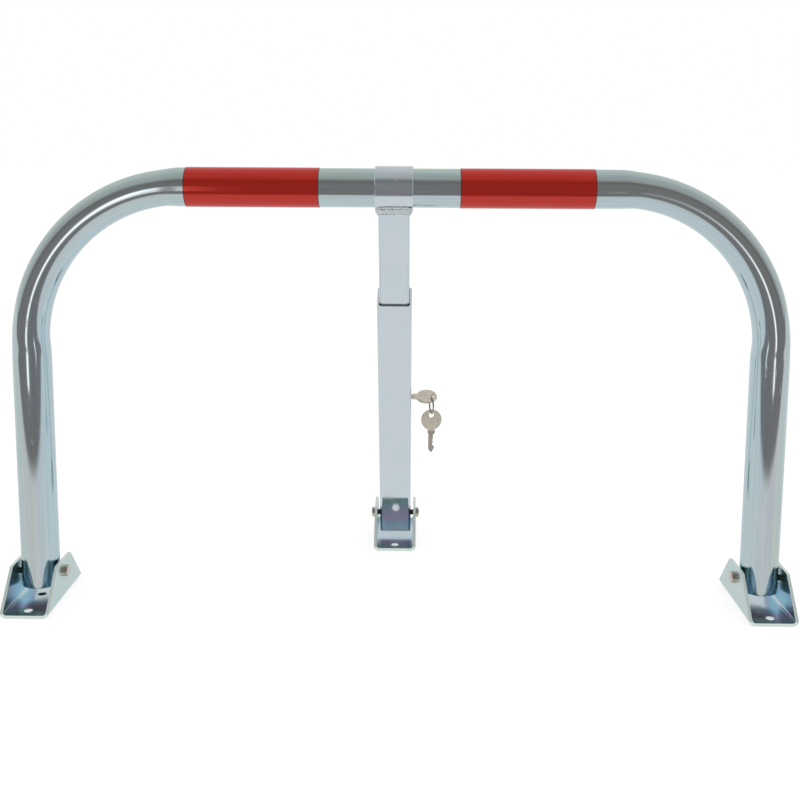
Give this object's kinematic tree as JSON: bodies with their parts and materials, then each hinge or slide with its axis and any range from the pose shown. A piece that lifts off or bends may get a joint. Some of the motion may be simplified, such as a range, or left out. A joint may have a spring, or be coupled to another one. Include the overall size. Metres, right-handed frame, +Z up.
{
  "type": "parking hoop",
  "caption": "Folding parking hoop: a bent zinc-plated tube arch hinged on ground feet, held up by a telescopic strut with a key lock, with red reflective bands.",
  "frame": {"origin": "on the ground, in the middle of the footprint of the feet", "axes": "+X to the right along the hoop, +Y away from the viewer to the strut's foot, +Z up"},
  "size_m": [0.771, 0.292, 0.4317],
  "materials": {
    "zinc_tube": "bright blue-white zinc plate, glossy",
    "zinc_sheet": "blue-white zinc plate with faint iridescent tints",
    "zinc_strut": "satin blue-white zinc plate",
    "weld": "rough weld bead, plated over",
    "zinc_fastener": "zinc plate",
    "red_tape": "red retroreflective tape",
    "nickel_key": "nickel-plated brass",
    "steel_ring": "bright spring wire",
    "lock_brass": "turned brass",
    "lock_body": "plated steel"
  },
  "bodies": {
    "feet": {"foot_bracket_left": "zinc_sheet", "foot_bracket_right": "zinc_sheet", "foot_bracket_center": "zinc_sheet", "pivot_bolt_left": "zinc_fastener", "pivot_bolt_right": "zinc_fastener", "pivot_bolt_center": "zinc_fastener", "pivot_nut_left": "zinc_fastener", "pivot_nut_right": "zinc_fastener", "pivot_nut_center": "zinc_fastener"},
    "hoop": {"hoop_tube": "zinc_tube", "reflective_band_left": "red_tape", "reflective_band_right": "red_tape"},
    "collar": {"strut_collar": "zinc_strut"},
    "strut_outer": {"strut_outer_tube": "zinc_strut", "lock_housing": "lock_body"},
    "strut_inner": {"strut_inner_tube": "zinc_strut", "collar_weld": "weld"},
    "lock_core": {"lock_plug": "lock_brass", "lock_wafers": "lock_brass", "lock_cam": "lock_body", "cam_screw": "zinc_fastener"},
    "key": {"key_in_lock": "nickel_key"},
    "ring": {"key_ring": "steel_ring"},
    "spare": {"spare_key": "nickel_key"}
  },
  "joints": [
    {"name": "hoop_fold", "type": "hinge", "parent": "feet", "child": "hoop", "pos_m": [0, -0.094, 0.028], "axis": [1, 0, 0], "range_deg": [0, 90]},
    {"name": "collar_turn", "type": "hinge", "parent": "hoop", "child": "collar", "pos_m": [-0.006, -0.094, 0.411], "axis": [1, 0, 0], "range_deg": [-26.15, 0]},
    {"name": "strut_pivot", "type": "hinge", "parent": "feet", "child": "strut_outer", "pos_m": [-0.006, 0.094, 0.028], "axis": [1, 0, 0], "range_deg": [0, 63.86]},
    {"name": "strut_slide", "type": "slide", "parent": "strut_outer", "child": "strut_inner", "axis": [0, -0.4406, 0.8977], "range_m": [0, 0.14436]},
    {"name": "lock_turn", "type": "hinge", "parent": "strut_outer", "child": "lock_core", "pos_m": [0.0115, 0.01777, 0.1833], "axis": [-1, 0, 0], "range_deg": [0, 90]},
    {"name": "key_pull", "type": "slide", "parent": "lock_core", "child": "key", "axis": [1, 0, 0], "range_m": [0, 0.03]},
    {"name": "ring_swing", "type": "hinge", "parent": "key", "child": "ring", "pos_m": [0.0339, 0.01206, 0.1805], "axis": [0.1874, -0.8818, -0.4328], "range_deg": [-18, 28]},
    {"name": "spare_key_swing", "type": "hinge", "parent": "ring", "child": "spare", "pos_m": [0.03335, 0.01467, 0.16576], "axis": [0.2079, -0.9781, 0], "range_deg": [-15, 60]}
  ],
  "couplings": [
    {"joint": "collar_turn", "follows": "hoop_fold", "ratio": -0.2905},
    {"joint": "strut_pivot", "follows": "hoop_fold", "ratio": 0.7095},
    {"joint": "strut_slide", "follows": "hoop_fold", "m_per_rad": 0.091894}
  ]
}
